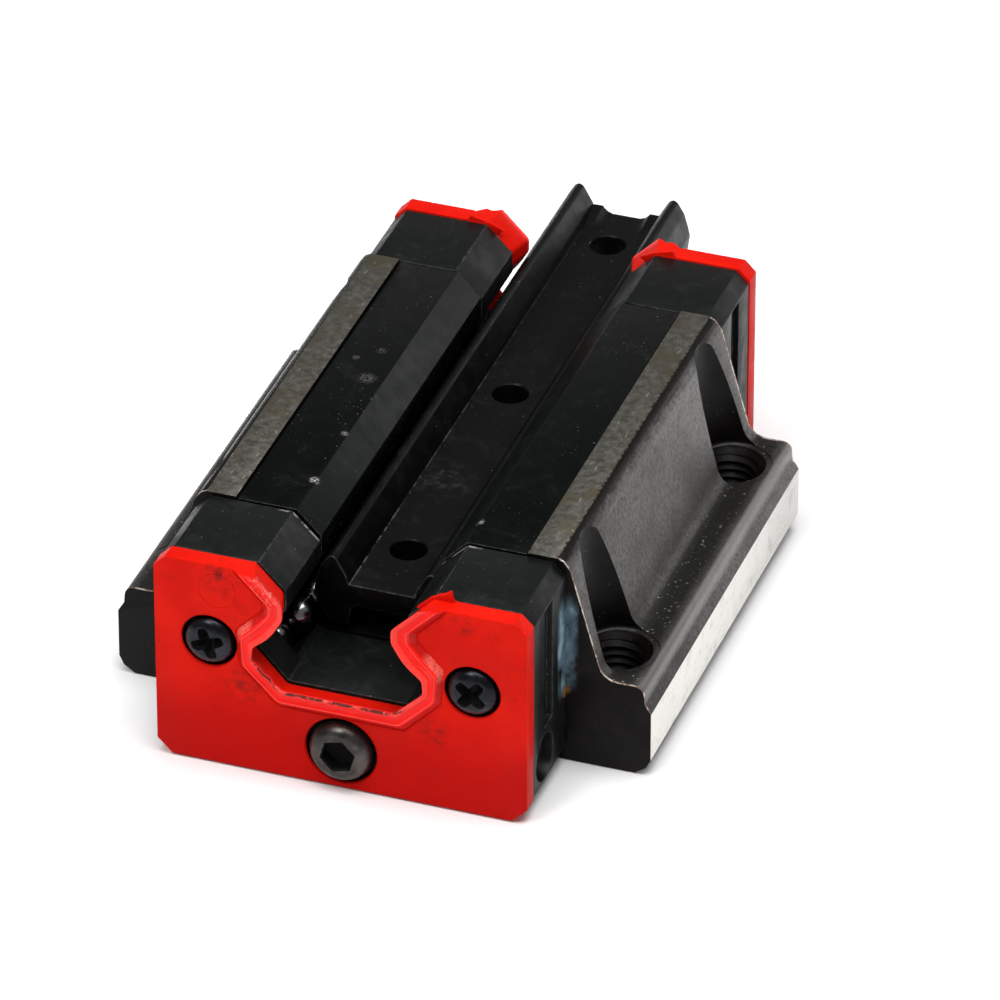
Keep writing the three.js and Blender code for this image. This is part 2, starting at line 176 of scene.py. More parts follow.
def to_object(name, bm, smooth_below=SMOOTH_BELOW):
    """A Blender object from a bmesh in millimetres, shaded smooth where its faces meet gently."""
    bmesh.ops.recalc_face_normals(bm, faces=bm.faces)
    bmesh.ops.scale(bm, vec=(MM, MM, MM), verts=bm.verts)
    mesh = bpy.data.meshes.new(name)
    bm.to_mesh(mesh)
    bm.free()
    piece = in_scene(name, mesh)
    shade(piece, smooth_below)
    return piece


def shade(piece, smooth_below=SMOOTH_BELOW):
    piece.data.shade_smooth()
    piece.data.set_sharp_from_angle(angle=math.radians(smooth_below))


def bake(piece):
    """Replaces the piece's mesh by the result of its modifiers."""
    graph = bpy.context.evaluated_depsgraph_get()
    result = bpy.data.meshes.new_from_object(piece.evaluated_get(graph))
    piece.modifiers.clear()
    piece.data = result


def loft(bm, rings):
    """A closed body from rings of points, each ring joined to the next and the two ends closed."""
    rings = [[bm.verts.new(point) for point in ring] for ring in rings]
    bm.faces.new(rings[0])
    bm.faces.new(reversed(rings[-1]))
    for near, far in zip(rings, rings[1:]):
        for i in range(len(near)):
            j = (i + 1) % len(near)
            bm.faces.new((near[j], near[i], far[i], far[j]))


def prism_object(name, outline, y_from, y_to):
    """An outline in X and Z, drawn out along Y."""
    bm = bmesh.new()
    loft(bm, [[(x, y, z) for x, z in outline] for y in (y_from, y_to)])
    return to_object(name, bm)


def turned(bm, profile, sides, place):
    """A profile of (radius, height) pairs turned about Z, from axis to axis, then moved by a matrix."""
    rings = []
    for radius, height in profile:
        if radius == 0:
            rings.append([bm.verts.new(place @ Vector((0, 0, height)))])
            continue
        ring = []
        for i in range(sides):
            angle = math.tau * i / sides
            spoke = Vector((radius * math.cos(angle), radius * math.sin(angle), height))
            ring.append(bm.verts.new(place @ spoke))
        rings.append(ring)
    for low, high in zip(rings, rings[1:]):
        for i in range(sides):
            j = (i + 1) % sides
            corners = [low[i % len(low)], low[j % len(low)], high[j % len(high)], high[i % len(high)]]
            kept = [v for k, v in enumerate(corners) if v not in corners[:k]]
            bm.faces.new(kept)


def turned_object(name, profile, sides, place):
    bm = bmesh.new()
    turned(bm, profile, sides, place)
    return to_object(name, bm)


def ring_object(name, profile, sides, place):
    """A closed profile that stays off the axis, turned about it."""
    bm = bmesh.new()
    turned(bm, profile + profile[:1], sides, place)
    bmesh.ops.remove_doubles(bm, verts=bm.verts, dist=1e-5)
    return to_object(name, bm)


def along_z(x, y):
    return Matrix.Translation((x, y, 0))


def along_y(x, z):
    """Turns heights into Y."""
    return Matrix.Translation((x, 0, z)) @ Matrix.Rotation(-math.pi / 2, 4, "X")


def combine(piece, operation, others):
    """Changes the piece by a Boolean operation with each of the others, and uses them up."""
    for other in others:
        modifier = piece.modifiers.new("combine", "BOOLEAN")
        modifier.operation = operation
        modifier.solver = "EXACT"
        modifier.object = other
        bake(piece)
        bpy.data.objects.remove(other)


def cut(piece, *cutters):
    """Takes the cutters' space out of the piece."""
    combine(piece, "DIFFERENCE", cutters)


def join(piece, *others):
    """Makes the others part of the piece."""
    combine(piece, "UNION", others)


def soften(piece, width, segments=2, angle=35, slot=-1):
    """Rounds the sharp edges by a width in millimetres. The new faces take a material slot."""
    modifier = piece.modifiers.new("soften", "BEVEL")
    modifier.width = width * MM
    modifier.segments = segments
    modifier.limit_method = "ANGLE"
    modifier.angle_limit = math.radians(angle)
    modifier.material = slot
    modifier.use_clamp_overlap = True
    modifier.miter_outer = "MITER_ARC"
    bake(piece)
    shade(piece)
    return piece


def clad(piece, *surfaces):
    """Gives the piece its materials, one for each slot."""
    for surface in surfaces:
        piece.data.materials.append(surface)
    return piece


def turn_round(piece):
    """Turns a front piece about Z, so that it serves at the rear."""
    piece.data.transform(Matrix.Rotation(math.pi, 4, "Z"))


def finish_piece(piece, body, nodes):
    """Gives the piece its body and hides the CAD nodes it stands for."""
    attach(piece, body)
    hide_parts(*nodes)


# ------------------------------------------------------------------ materials

class Surface:
    """A Principled material, built up from procedural steps in the object's own space."""

    def __init__(self, name, **uniform):
        self.material = bpy.data.materials.new(name)
        self.material.use_nodes = True
        self.tree = self.material.node_tree
        self.shader = self.tree.nodes["Principled BSDF"]
        for socket, value in uniform.items():
            self.shader.inputs[socket.replace("_", " ")].default_value = value
        self.place = self.tree.nodes.new("ShaderNodeTexCoord").outputs["Object"]
        self.relief = None

    def link(self, source, target):
        self.tree.links.new(source, target)

    def feed(self, target, value):
        """Sets a socket from a number, a colour or another socket."""
        if isinstance(value, bpy.types.NodeSocket):
            self.link(value, target)
        elif isinstance(value, tuple) and len(value) == 3 and target.type == "RGBA":
            target.default_value = (*value, 1)
        else:
            target.default_value = value

    def stretched(self, x=1, y=1, z=1, turn=0):
        """Coordinates scaled by a factor on each axis, turned about Z by degrees."""
        node = self.tree.nodes.new("ShaderNodeMapping")
        node.inputs["Scale"].default_value = (x, y, z)
        node.inputs["Rotation"].default_value = (0, 0, math.radians(turn))
        self.link(self.place, node.inputs["Vector"])
        return node.outputs["Vector"]

    def noise(self, size, detail=4, roughness=0.55, place=None, distortion=0):
        """Noise whose features are about `size` millimetres across."""
        node = self.tree.nodes.new("ShaderNodeTexNoise")
        node.inputs["Scale"].default_value = 1 / (size * MM)
        node.inputs["Detail"].default_value = detail
        node.inputs["Roughness"].default_value = roughness
        node.inputs["Distortion"].default_value = distortion
        self.link(place or self.place, node.inputs["Vector"])
        return node.outputs["Fac"]

    def step(self, value, low, high, out_low=0.0, out_high=1.0):
        """Maps a value smoothly from one range to another, held at the ends."""
        node = self.tree.nodes.new("ShaderNodeMapRange")
        node.interpolation_type = "SMOOTHSTEP"
        self.feed(node.inputs["Value"], value)
        limits = {"From Min": low, "From Max": high, "To Min": out_low, "To Max": out_high}
        for socket, number in limits.items():
            node.inputs[socket].default_value = number
        return node.outputs["Result"]

    def times(self, *shares):
        """The product of several shares."""
        product = shares[0]
        for share in shares[1:]:
            product = self.math("MULTIPLY", product, share)
        return product

    def math(self, operation, a, b=0.0):
        node = self.tree.nodes.new("ShaderNodeMath")
        node.operation = operation
        self.feed(node.inputs[0], a)
        self.feed(node.inputs[1], b)
        return node.outputs["Value"]

    def mix(self, share, a, b):
        """Colour a, going to colour b as the share goes to 1."""
        node = self.tree.nodes.new("ShaderNodeMix")
        node.data_type = "RGBA"
        self.feed(node.inputs["Factor"], share)
        self.feed(node.inputs[6], a)
        self.feed(node.inputs[7], b)
        return node.outputs[2]

    def axis(self, letter):
        """One coordinate, in millimetres."""
        node = self.tree.nodes.new("ShaderNodeSeparateXYZ")
        self.link(self.place, node.inputs["Vector"])
        return self.math("MULTIPLY", node.outputs[letter], 1 / MM)

    def off_middle(self, letter):
        """Distance from the object's middle along one axis, in millimetres."""
        return self.math("ABSOLUTE", self.axis(letter))

    def near(self, x, y, z, inner, outer):
        """1 within `inner` millimetres of a point, falling to 0 at `outer`."""
        node = self.tree.nodes.new("ShaderNodeVectorMath")
        node.operation = "DISTANCE"
        self.link(self.place, node.inputs[0])
        node.inputs[1].default_value = (x * MM, y * MM, z * MM)
        return self.step(self.math("MULTIPLY", node.outputs["Value"], 1 / MM), inner, outer, 1, 0)

    def color(self, value):
        self.feed(self.shader.inputs["Base Color"], value)

    def roughness(self, value):
        self.feed(self.shader.inputs["Roughness"], value)

    def sheen(self, pattern, low, high):
        """Roughness that wanders between two values with a noise."""
        self.roughness(self.step(pattern, 0.3, 0.7, low, high))

    def bump(self, height, depth, strength):
        """Relief from a height field, `depth` millimetres high. Further calls add to it."""
        node = self.tree.nodes.new("ShaderNodeBump")
        node.inputs["Strength"].default_value = strength
        node.inputs["Distance"].default_value = depth * MM
        self.feed(node.inputs["Height"], height)
        if self.relief is not None:
            self.link(self.relief, node.inputs["Normal"])
        self.relief = node.outputs["Normal"]
        self.link(self.relief, self.shader.inputs["Normal"])


def rubbed_line(s, tone):
    """Bright and brown flecks along the block's front and rear profile edges, added to a colour."""
    patches = s.noise(1.1, 5, 0.7)
    line = s.step(s.off_middle("Y"), BLOCK_END - 0.26, BLOCK_END - 0.16)
    worn = s.mix(s.step(patches, 0.46, 0.56), (0.20, 0.10, 0.07), (0.62, 0.56, 0.50))
    return s.mix(s.times(line, s.step(patches, 0.34, 0.46)), tone, worn)


def drawn_steel():
    """Black oxide over the leathery drawn surface of the block's web and flange tops, with painted shade on
    the flange tops and a painted highlight along the flange's rounded outer edge.
    """
    s = Surface("drawn_black_steel", Metallic=0.8)
    across = s.off_middle("X")
    height = s.axis("Z")
    grain = s.noise(0.35, 7, 0.7)
    tone = s.mix(s.step(s.noise(5, 4), 0.35, 0.65), (0.070, 0.067, 0.064), (0.120, 0.115, 0.110))
    tone = s.mix(s.step(grain, 0.30, 0.60), (0.048, 0.044, 0.042), tone)
    # Painted shade: the flange tops are darkened. They also get more dust specks.
    short_of_edge = s.step(across, FLANGE_HALF - 1.2, FLANGE_HALF - 2.0)
    flat = s.times(s.step(across, 18.9, 19.9), short_of_edge)
    flat = s.times(flat, s.step(height, FLANGE_TOP + 0.6, FLANGE_TOP + 0.1))
    tone = s.mix(s.times(flat, 0.85), tone, (0.014, 0.014, 0.012))
    # Painted highlight: a lighter band along the flange's rounded outer edge.
    band = s.times(s.step(across, FLANGE_HALF - 1.3, FLANGE_HALF - 0.9), s.step(height, 6.9, 7.6))
    tone = s.mix(s.times(band, 0.7), tone, (0.22, 0.215, 0.21))
    specks = s.step(s.noise(0.28, 2, 0.5), 0.68, 0.71)
    tone = s.mix(s.times(specks, s.step(flat, 0, 1, 0.12, 0.7)), tone, (0.50, 0.47, 0.43))
    bristle = s.step(s.noise(0.8, 4, 0.6, s.stretched(1, 0.35, 1, 35)), 0, 1, -0.30, 0.30)
    shoulder = s.step(s.math("ADD", height, bristle), 18.95, 19.35)
    tone = s.mix(shoulder, tone, (0.008, 0.006, 0.005))
    s.color(rubbed_line(s, tone))
    s.sheen(grain, 0.46, 0.34)
    s.bump(s.noise(0.5, 6, 0.65), 0.10, 0.6)
    s.bump(s.noise(0.9, 5, 0.6, s.stretched(1, 0.4, 1)), 0.10, 0.5)
    return s.material


def greasy(s, tone):
    """Adds the grease at the joint of front cap and block, right side: a bluish smear, an orange spot."""
    patch = s.near(16.2, -20.6, 11.8, 3.0, 5.2)
    patch = s.times(patch, s.step(s.axis("Y"), -22.3, -21.6))
    patch = s.times(patch, s.step(s.axis("Y"), -BLOCK_END + 0.3, -BLOCK_END + 0.1))
    patch = s.times(patch, s.step(s.axis("X"), 17.3, 16.6))
    smear = s.noise(1.8, 4, 0.55, s.stretched(1, 1, 0.5))
    tone = s.mix(s.times(patch, s.step(smear, 0.34, 0.50)), tone, (0.10, 0.16, 0.20))
    tone = s.mix(s.times(patch, s.step(smear, 0.50, 0.62)), tone, (0.26, 0.38, 0.44))
    return s.mix(s.near(16.1, -20.2, 7.0, 0.2, 0.7), tone, (0.30, 0.13, 0.03))


def machined_black():
    """Black oxide over the smooth cut faces: block ends, pockets and holes."""
    s = Surface("machined_black_steel", Metallic=0, Specular_IOR_Level=0.10)
    streaks = s.noise(0.25, 3, 0.5, s.stretched(0.15, 0.15, 1))
    tone = s.mix(s.step(s.noise(3, 3), 0.4, 0.7), (0.0026, 0.0018, 0.0017), (0.0056, 0.0042, 0.0038))
    specks = s.step(s.noise(0.3, 2, 0.5), 0.71, 0.74)
    s.color(greasy(s, s.mix(s.times(specks, 0.3), tone, (0.22, 0.17, 0.13))))
    s.sheen(streaks, 0.30, 0.44)
    s.bump(streaks, 0.006, 0.4)
    return s.material


def ground_steel():
    """Bare ground steel of the reference sides, lined along the travel and softly stained."""
    s = Surface("ground_bright_steel", Metallic=0.9)
    lines = s.noise(0.12, 4, 0.6, s.stretched(1, 0.03, 1))
    tone = s.mix(lines, (0.58, 0.56, 0.53), (0.80, 0.78, 0.74))
    tone = s.mix(s.step(s.noise(1.8, 5, 0.65), 0.50, 0.72), tone, (0.50, 0.48, 0.45))
    specks = s.step(s.noise(0.4, 5, 0.7), 0.70, 0.76)
    s.color(s.mix(specks, tone, (0.22, 0.18, 0.14)))
    s.sheen(lines, 0.26, 0.40)
    s.bump(lines, 0.004, 0.5)
    return s.material


def strip_steel():
    """Worn olive-grey ground strips beside the rail slot, the right one chipped along its outer edge."""
    s = Surface("ground_patina_steel", Metallic=0.65)
    mottle = s.noise(0.7, 7, 0.75)
    tone = s.mix(s.step(mottle, 0.32, 0.68), (0.060, 0.056, 0.047), (0.135, 0.130, 0.112))
    tone = s.mix(s.step(s.noise(3, 4, 0.6), 0.45, 0.70), tone, (0.085, 0.072, 0.045))
    scratch = s.step(s.noise(0.30, 2, 0.4, s.stretched(1, 0.2, 1, 50)), 0.70, 0.74)
    tone = s.mix(s.times(scratch, 0.6), tone, (0.33, 0.31, 0.27))
    tone = s.mix(s.step(s.noise(0.30, 3, 0.6), 0.68, 0.73), tone, (0.36, 0.31, 0.22))
    tone = s.mix(s.step(s.noise(0.8, 4, 0.7), 0.69, 0.74), tone, (0.26, 0.15, 0.05))
    chips = s.math("ADD", s.axis("X"), s.step(s.noise(0.4, 5, 0.7), 0, 1, -0.5, 0.5))
    s.color(s.mix(s.step(chips, GROUND_OUT - 0.12, GROUND_OUT + 0.02), tone, (0.010, 0.008, 0.007)))
    s.sheen(mottle, 0.38, 0.55)
    s.bump(mottle, 0.016, 0.5)
    return s.material


def worn_edge():
    """Edges rubbed bright, with brown where the oxide only thins."""
    s = Surface("worn_steel_edge", Metallic=0.85)
    patches = s.noise(1.1, 5, 0.65)
    tone = s.mix(s.step(patches, 0.30, 0.42), (0.030, 0.022, 0.018), (0.26, 0.16, 0.115))
    s.color(s.mix(s.step(patches, 0.42, 0.54), tone, (0.66, 0.60, 0.54)))
    s.roughness(0.42)
    return s.material


def red_elastomer():
    """Moulded red seal, with painted shade darkening it towards the bottom, smudged with grease near the lip
    and the screws.
    """
    s = Surface("red_elastomer", Metallic=0, Specular_IOR_Level=0.05)
    tone = s.mix(s.step(s.noise(6, 3), 0.3, 0.7), (0.58, 0.0055, 0.0016), (0.69, 0.0095, 0.0030))
    # Painted shade: the seal is darker towards its bottom.
    tone = s.mix(s.step(s.axis("Z"), 10, 3), tone, (0.47, 0.0028, 0.0010))
    smear = s.times(s.step(s.noise(2.6, 5, 0.65), 0.55, 0.75), 0.40)
    tone = s.mix(smear, tone, (0.36, 0.004, 0.002))
    smudges = ((10.6, 18.4, 0.9), (-10.4, 18.5, 1.4), (-8.6, 13.7, 1.1), (8.2, 7.3, 1.2), (-8.3, 8.4, 1.6))
    for x, z, reach in smudges:
        spot = s.near(x, -SEAL_FACE, z, 0.1, reach * 1.6)
        smudge = s.times(spot, s.step(s.noise(0.8, 5, 0.7), 0.42, 0.66))
        tone = s.mix(s.times(smudge, 0.75), tone, (0.10, 0.010, 0.008))
    dirt = s.step(s.noise(0.45, 3, 0.6), 0.70, 0.76)
    s.color(s.mix(s.times(dirt, 0.75), tone, (0.07, 0.008, 0.007)))
    s.sheen(s.noise(1.5, 4), 0.34, 0.48)
    s.bump(s.noise(0.25, 3), 0.006, 0.35)
    return s.material


def rubbed_and_lit_lip():
    """The lip: red, painted dark on its slope and bright in its valley as shade and light, with a painted
    highlight on its ridge and on brushed outer facets, pale where worn, grimy along the bottom of the slot.
    """
    s = Surface("rubbed_and_lit_red_lip", Metallic=0, Specular_IOR_Level=0.2)
    fine = s.noise(0.30, 5, 0.75)
    brushed = s.noise(0.22, 4, 0.6, s.stretched(0.4, 1, 1))
    stand = s.math("SUBTRACT", s.off_middle("Y"), SEAL_FACE)
    bottom = s.step(s.axis("Z"), 11.5, 9.3)
    torn_top = s.near(-6.2, -SEAL_FACE, 18.3, 0.8, 2.6)
    # Painted shade and light: the slope is darker red and the valley brighter, to show the facets.
    tone = s.mix(s.step(stand, 0.40, 0.46), (0.56, 0.0060, 0.0030), (0.90, 0.0080, 0.0045))
    # Painted highlight along the ridge.
    rim = s.times(s.step(stand, 0.56, 0.60, 0.0, 0.45), s.step(fine, 0.30, 0.60, 0.5, 1.0))
    tone = s.mix(rim, tone, (0.98, 0.11, 0.085))
    # Painted highlight on the two outer facets, broken up by brushed streaks.
    for x, z in ((-8.8, 14.1), (8.5, 13.9)):
        facet = s.times(s.near(x, -SEAL_FACE, z, 0.9, 1.7), s.step(brushed, 0.35, 0.60, 0.35, 0.9))
        tone = s.mix(s.times(facet, s.step(stand, 0.50, 0.44)), tone, (0.86, 0.13, 0.10))
    # Pale worn rubber low on the rubbing edge. At the torn top, the pale patch is worn rubber and also a
    # painted highlight.
    worn = s.math("MAXIMUM", s.times(bottom, s.step(stand, 0.70, 0.80)), torn_top)
    tone = s.mix(s.times(worn, s.step(fine, 0.53, 0.61, 0.0, 0.8)), tone, (0.75, 0.26, 0.22))
    dirty = s.math("MAXIMUM", s.step(s.axis("Z"), 9.6, 9.2), s.near(-6.6, -SEAL_FACE, 10.3, 1.2, 2.2))
    inside = s.step(s.axis("Y"), -SEAL_FACE - 0.60, -SEAL_FACE - 0.72)
    grime = s.times(s.step(s.noise(0.7, 6, 0.75), 0.44, 0.50), s.times(dirty, inside))
    s.color(s.mix(s.times(grime, 0.9), tone, (0.022, 0.004, 0.003)))
    s.roughness(s.step(fine, 0.4, 0.6, 0.32, 0.5))
    s.bump(fine, 0.02, 0.6)
    return s.material


def black_polymer(name, tone, low, high, gloss, dust=0.73, flakes=(), marks=None):
    """Black moulded plastic with a fine grain, pale scuffs, dust, and white flakes at given places."""
    s = Surface(name, Metallic=0, Specular_IOR_Level=gloss)
    scuff = s.step(s.noise(2.8, 7, 0.75, distortion=0.6), 0.50, 0.80)
    pale = tuple(channel * 3 + 0.006 for channel in tone)
    colour = s.mix(scuff, tone, pale)
    grains = s.step(s.noise(0.26, 2, 0.5), dust, dust + 0.03)
    grains = s.times(grains, s.step(s.noise(5, 3), 0.4, 0.7))
    colour = s.mix(s.times(grains, 0.5), colour, (0.34, 0.34, 0.31))
    for x, y, z, reach, strength in flakes:
        flake = s.times(s.near(x, y, z, 0.1, reach), s.step(s.noise(0.25, 4, 0.7), 0.46, 0.54))
        colour = s.mix(s.times(flake, strength), colour, (0.50, 0.50, 0.46))
    if marks:
        colour = marks(s, colour)
    s.color(colour)
    s.sheen(s.noise(1.8, 5, 0.6), low, high)
    s.bump(s.noise(0.22, 3), 0.008, 0.4)
    s.bump(s.noise(1.1, 4, 0.6), 0.020, 0.3)
    s.bump(s.noise(6, 2), 0.10, 0.25)
    return s.material


def rail_marks(s, tone):
    """The faint dusty line beside the shipping rail's floor and a pale scuff in its middle."""
    off = s.math("ABSOLUTE", s.math("SUBTRACT", s.off_middle("X"), RAIL_FLOOR.x - 0.05))
    low = s.step(s.axis("Z"), RAIL_FLOOR.y + 0.2, RAIL_FLOOR.y + 0.1)
    line = s.times(s.step(off, 0.08, 0.03), low)
    line = s.times(line, s.step(s.noise(0.9, 5, 0.7), 0.44, 0.62))
    line = s.times(line, s.step(s.axis("Y"), RAIL_HIGH.y, RAIL_LOW.y, 0.0, 0.5))
    tone = s.mix(line, tone, (0.13, 0.13, 0.115))
    cloud = s.near(-0.7, -2.3, RAIL_FLOOR.y, 0.8, 3.6)
    cloud = s.times(cloud, s.step(s.noise(1.2, 6, 0.75), 0.46, 0.70))
    return s.mix(s.times(cloud, 0.4), tone, (0.06, 0.06, 0.055))


def cap_marks(s, tone):
    """The grease on the front cap's side and the chipped pale line where its top meets the strips."""
    from_joint = s.math("ABSOLUTE", s.math("ADD", s.axis("Y"), CAP_LOW.y + 0.1))
    chips = s.times(s.step(from_joint, 0.26, 0.14), s.step(s.axis("Z"), 16.8, 17.4))
    chips = s.times(chips, s.step(s.noise(1.1, 5, 0.7), 0.40, 0.50))
    slope = s.step(s.off_middle("X"), 9.2, 8.0, 0.0, 0.75)
    return greasy(s, s.mix(s.times(chips, slope), tone, (0.30, 0.30, 0.28)))


def scuffed_edge():
    """Moulded edges, greyed and nicked by handling."""
    s = Surface("scuffed_polymer_edge", Metallic=0, Specular_IOR_Level=0.25)
    nicks = s.noise(0.7, 6, 0.75)
    tone = s.mix(s.step(nicks, 0.42, 0.56), (0.003, 0.0035, 0.0035), (0.024, 0.026, 0.025))
    s.color(s.mix(s.step(nicks, 0.62, 0.68), tone, (0.20, 0.20, 0.19)))
    s.roughness(0.42)
    s.bump(nicks, 0.02, 0.5)
    return s.material


def screw_steel(name, dark, light, low, high):
    """Blackened screw steel with a soft sheen between two roughnesses."""
    s = Surface(name, Metallic=0.8)
    s.color(s.mix(s.step(s.noise(1.4, 3), 0.40, 0.70), dark, light))
    s.sheen(s.noise(0.5, 3), low, high)
    s.bump(s.noise(0.3, 4), 0.006, 0.4)
    return s.material


def recess_black():
    """The unlit bottoms of screw recesses and seats."""
    s = Surface("recess_black", Metallic=0, Specular_IOR_Level=0.1)
    s.color(s.mix(s.noise(0.5, 4), (0.0012, 0.0012, 0.0012), (0.004, 0.004, 0.004)))
    s.roughness(0.6)
    s.bump(s.noise(0.3, 3), 0.01, 0.4)
    return s.material


def ball_steel():
    s = Surface("bearing_ball_steel", Metallic=1)
    s.color(s.mix(s.noise(1.2, 2), (0.20, 0.20, 0.21), (0.30, 0.30, 0.31)))
    s.sheen(s.noise(0.8, 3), 0.16, 0.22)
    return s.material


DRAWN = drawn_steel()
MACHINED = machined_black()
GROUND = ground_steel()
STRIP = strip_steel()
WORN = worn_edge()
RED = red_elastomer()
RUBBED_AND_LIT = rubbed_and_lit_lip()
CAP_BLACK = black_polymer("cap_black_polymer", (0.0032, 0.0040, 0.0038), 0.34, 0.50, 0.18, marks=cap_marks)
FLAKES = [(-7.6, -15.0, 19.5, 0.6, 0.8), (-7.7, -7.5, 19.6, 0.5, 0.3), (7.3, -16.4, 19.6, 0.6, 0.6),
          (-10.9, 4.0, 19.7, 0.5, 0.2), (-8.9, 1.2, 19.7, 1.1, 0.16), (-9.2, 5.7, 19.7, 0.6, 0.15)]
STRIP_BLACK = black_polymer("strip_top_polymer", (0.0008, 0.0013, 0.0012), 0.20, 0.34, 0.11, 0.70, FLAKES)
# Painted light: the strips' slopes take a lighter copy of the strip plastic.
STRIP_SLOPE_LIT = black_polymer("strip_slope_lit_polymer", (0.0022, 0.0030, 0.0030), 0.30, 0.42, 0.13, 0.74, FLAKES)
RAIL_BLACK = black_polymer("rail_black_polymer", (0.0014, 0.0018, 0.0016), 0.30, 0.44, 0.12, marks=rail_marks)
# Painted shade: a darker copy of the rail plastic for its end faces and hole walls.
RAIL_SHADED = black_polymer("rail_shaded_black_polymer", (0.0010, 0.0010, 0.0010), 0.50, 0.60, 0.06)
INNER_BLACK = black_polymer("channel_black_polymer", (0.001, 0.001, 0.001), 0.35, 0.5, 0.12)
EDGE = scuffed_edge()
SCREW = screw_steel("black_screw_steel", (0.010, 0.011, 0.015), (0.024, 0.026, 0.033), 0.22, 0.34)
PLUG_STEEL = screw_steel("warm_black_plug_steel", (0.034, 0.031, 0.029), (0.078, 0.072, 0.066), 0.26, 0.38)
RECESS = recess_black()
BALL = ball_steel()


# ------------------------------------------------------------------ the steel block

def block_outline():
    lip_face, leg_face = 7.9, 8.8
    lip_angle = math.degrees(math.acos((lip_face - LOWER_ROW.x) / GROOVE))
    leg_angle = math.degrees(math.acos((leg_face - LOWER_ROW.x) / GROOVE))
    outside = [
        (FLANGE_HALF - 1.4, 0, 0.3),
        (FLANGE_HALF - 0.4, 0.7, 0.3),
        (FLANGE_HALF, 1.5, 0.3),
        (FLANGE_HALF, 6.05, 0.1),
        (FLANGE_HALF - 0.55, 6.9, 0.5),
        (FLANGE_HALF - 0.7, FLANGE_TOP, 0.8),
        (19.29, FLANGE_TOP, 1.7),
        (16.4, 18.7, 1.2),
        (GROUND_OUT + 0.5, BODY_TOP - 0.25, 0.3),
        (GROUND_OUT, BODY_TOP),
        (GROUND_IN, BODY_TOP),
        (GROUND_IN, STRIP_SEAT),
        (lip_face, STRIP_SEAT, 0.15),
    ]
    grooves = arc(LOWER_ROW, GROOVE, lip_angle, -leg_angle, 10) + arc(UPPER_ROW, GROOVE, leg_angle, -90, 12)
    return rounded(mirrored(outside + grooves))


def thread_cutter(x, y, top):
    """The space of an M5 screw thread with its countersunk mouth, as one closed helical bar."""
    major, minor, pitch, mouth = 2.5, 2.08, 0.8, 2.95
    sides, samples, bottom = 48, 8, -1.2
    rows = (int((top + 1 - bottom) / pitch) + 1) * samples
    bm = bmesh.new()

    def vertex(row, side):
        height = bottom + pitch * (row / samples + side / sides)
        thread = minor + (major - minor) * abs(2 * (row % samples) / samples - 1)
        radius = max(thread, mouth - max(0, top - height))
        angle = math.tau * side / sides
        return bm.verts.new((x + radius * math.cos(angle), y + radius * math.sin(angle), height))

    grid = [[vertex(row, side) for side in range(sides)] for row in range(rows + 1)]
    for row in range(rows):
        for side in range(sides - 1):
            bm.faces.new((grid[row][side], grid[row][side + 1], grid[row + 1][side + 1], grid[row + 1][side]))
        if row + samples < rows:
            over = row + samples
            bm.faces.new((grid[row][-1], grid[over][0], grid[over + 1][0], grid[row + 1][-1]))
    low_loop = grid[0] + [grid[row][0] for row in range(samples, 0, -1)]
    high_loop = grid[rows] + [grid[row][-1] for row in range(rows - 1, rows - samples - 1, -1)]
    for loop, height in ((low_loop, bottom - 0.5), (high_loop, top + 2)):
        middle = bm.verts.new((x, y, height))
        for i, corner in enumerate(loop):
            bm.faces.new((corner, loop[(i + 1) % len(loop)], middle))
    return to_object("thread", bm)


def bar_cutter(radius, place, low, high, sides=40):
    return turned_object("bar", [(0, low), (radius, low), (radius, high), (0, high)], sides, place)


def pocket_cutter(x, y):
    """The round space for a screw head beside the web, with a small radius at its floor."""
    floor, corner = FLANGE_TOP - POCKET_DEPTH, 0.3
    low_corner = arc((POCKET_RADIUS - corner, floor + corner), corner, -90, 0, 4)
    profile = [(0, floor), *low_corner, (POCKET_RADIUS, BODY_TOP + 2), (0, BODY_TOP + 2)]
    return turned_object("pocket", profile, 64, along_z(x + math.copysign(POCKET_SHIFT, x), y))


def block_face_slot(normal, centre):
    """Material slot of a block face, counted in the order in which the block is clad."""
    drawn, machined, ground, strip = range(4)
    x, y, z = centre / MM
    if abs(normal.y) > 0.9:
        return machined
    if abs(normal.x) > 0.98 and abs(x) > FLANGE_HALF - 0.05:
        return ground
    if normal.z > 0.98 and z > BODY_TOP - 0.05:
        return strip
    if normal.z < -0.9 and z < 0.05:
        return ground
    for bolt_x, bolt_y in BOLTS:
        pocket_x = bolt_x + math.copysign(POCKET_SHIFT, bolt_x)
        in_pocket = math.hypot(x - pocket_x, y - bolt_y) < POCKET_RADIUS + 0.05
        if in_pocket and z > 0.5 and normal.z < 0.9:
            return machined
    return machined if abs(x) < GROUND_IN and z > 7 else drawn


